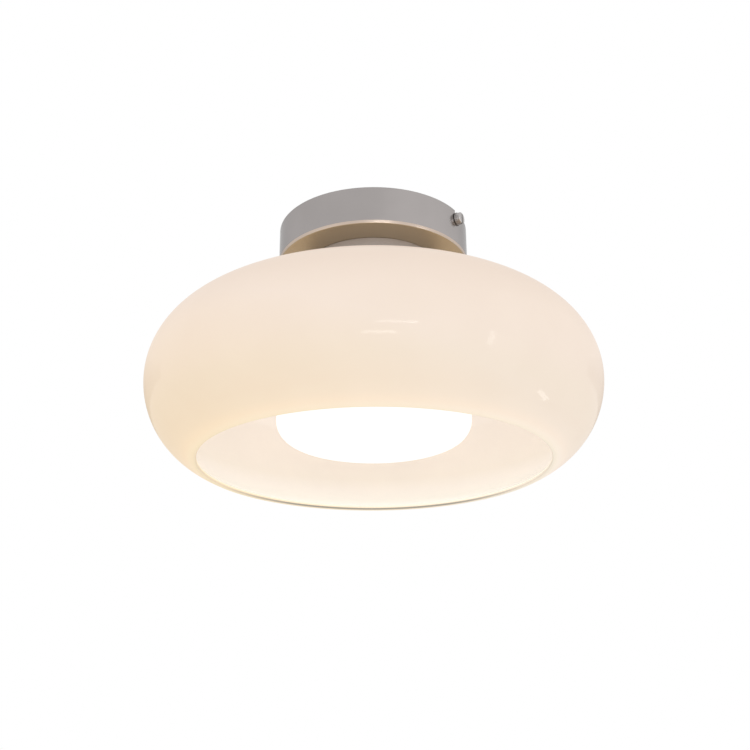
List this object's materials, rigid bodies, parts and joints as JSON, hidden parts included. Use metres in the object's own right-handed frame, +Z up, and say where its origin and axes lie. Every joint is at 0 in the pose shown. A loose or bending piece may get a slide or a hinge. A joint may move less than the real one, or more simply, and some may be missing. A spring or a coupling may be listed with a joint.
{
  "type": "ceiling light",
  "caption": "Semi-flush ceiling light: chrome canopy and collar, flattened opal glass shade open below, and a lit drum diffuser over a round LED board.",
  "frame": {"origin": "centre of the ceiling bracket's fixing slots, on the ceiling plane", "axes": "+Z up into the ceiling, so the light hangs towards -Z; +X along the bracket strap, towards the right side screw"},
  "size_m": [0.3, 0.3, 0.1688],
  "materials": {
    "chrome": "polished chrome plate",
    "zinc_steel": "bright zinc-plated steel",
    "spring_steel": "bare spring steel",
    "brass": "turned brass",
    "white_enamel": "satin white powder coat",
    "board_alloy": "white solder mask on aluminium",
    "opal_glass": "cream opal glass, fire-polished",
    "opal_acrylic": "satin opal acrylic",
    "silicone": "translucent silicone",
    "case_plastic": "white moulded plastic",
    "block_plastic": "natural polyamide",
    "black_plastic": "black moulded plastic",
    "circuit_board": "green solder mask",
    "transformer": "yellow winding tape on ferrite",
    "capacitor_sleeve": "dark shrink sleeve",
    "chip_phosphor": "yellow phosphor in a white package",
    "solder": "bright solder",
    "thermal_pad": "grey silicone pad",
    "live_sleeve": "brown insulation",
    "neutral_sleeve": "blue insulation",
    "earth_sleeve": "green and yellow insulation",
    "red_sleeve": "red insulation",
    "black_sleeve": "black insulation"
  },
  "bodies": {
    "bracket": {"ceiling_bracket": "zinc_steel", "bracket_earth_screw": "brass", "bracket_earth_washer": "brass", "tab_nuts": "zinc_steel"},
    "washer_right": {"side_washer_right": "chrome"},
    "screw_right": {"side_screw_right": "chrome"},
    "washer_left": {"side_washer_left": "chrome"},
    "screw_left": {"side_screw_left": "chrome"},
    "diffuser": {"diffuser": "opal_acrylic"},
    "lamp_body": {"canopy": "chrome", "canopy_studs": "zinc_steel", "stud_nuts": "zinc_steel", "terminal_block": "block_plastic", "terminal_clamps": "brass", "terminal_screws": "zinc_steel", "earth_stud": "zinc_steel", "earth_lug": "brass", "earth_nut": "zinc_steel", "driver_base": "case_plastic", "driver_cover": "case_plastic", "driver_board": "circuit_board", "driver_transformer": "transformer", "driver_capacitor": "capacitor_sleeve", "lock_washer": "zinc_steel", "top_nut": "zinc_steel", "nipple": "zinc_steel", "end_bushes": "black_plastic", "collar": "chrome", "collar_gasket": "silicone", "glass_shade": "opal_glass", "shade_gasket": "silicone", "clamp_disc": "zinc_steel", "clamp_nut": "zinc_steel", "lamp_tray": "white_enamel", "tray_nut": "zinc_steel", "spring_clips": "spring_steel", "rivets": "zinc_steel", "thermal_pad": "thermal_pad", "led_board": "board_alloy", "led_chips": "chip_phosphor", "board_screws": "zinc_steel", "solder_joints": "solder", "live_lead": "live_sleeve", "neutral_lead": "neutral_sleeve", "earth_lead": "earth_sleeve", "led_lead_positive": "red_sleeve", "led_lead_negative": "black_sleeve"}
  },
  "joints": [
    {"name": "canopy_drop", "type": "slide", "parent": "bracket", "child": "lamp_body", "axis": [0, 0, -1], "range_m": [0, 0.04]},
    {"name": "diffuser_pull", "type": "slide", "parent": "lamp_body", "child": "diffuser", "axis": [0, 0, -1], "range_m": [0, 0.09]},
    {"name": "washer_right_travel", "type": "slide", "parent": "bracket", "child": "washer_right", "axis": [1, 0, 0], "range_m": [0, 0.0035]},
    {"name": "screw_right_turn", "type": "hinge", "parent": "washer_right", "child": "screw_right", "pos_m": [0.0661, 0, -0.006], "axis": [1, 0, 0], "range_deg": [0, 1801]},
    {"name": "washer_left_travel", "type": "slide", "parent": "bracket", "child": "washer_left", "axis": [-1, 0, 0], "range_m": [0, 0.0035]},
    {"name": "screw_left_turn", "type": "hinge", "parent": "washer_left", "child": "screw_left", "pos_m": [-0.0661, 0, -0.006], "axis": [-1, 0, 0], "range_deg": [0, 1801]}
  ],
  "couplings": [
    {"joint": "screw_right_turn", "follows": "washer_right_travel", "rad_per_m": 8976},
    {"joint": "screw_left_turn", "follows": "washer_left_travel", "rad_per_m": 8976}
  ]
}
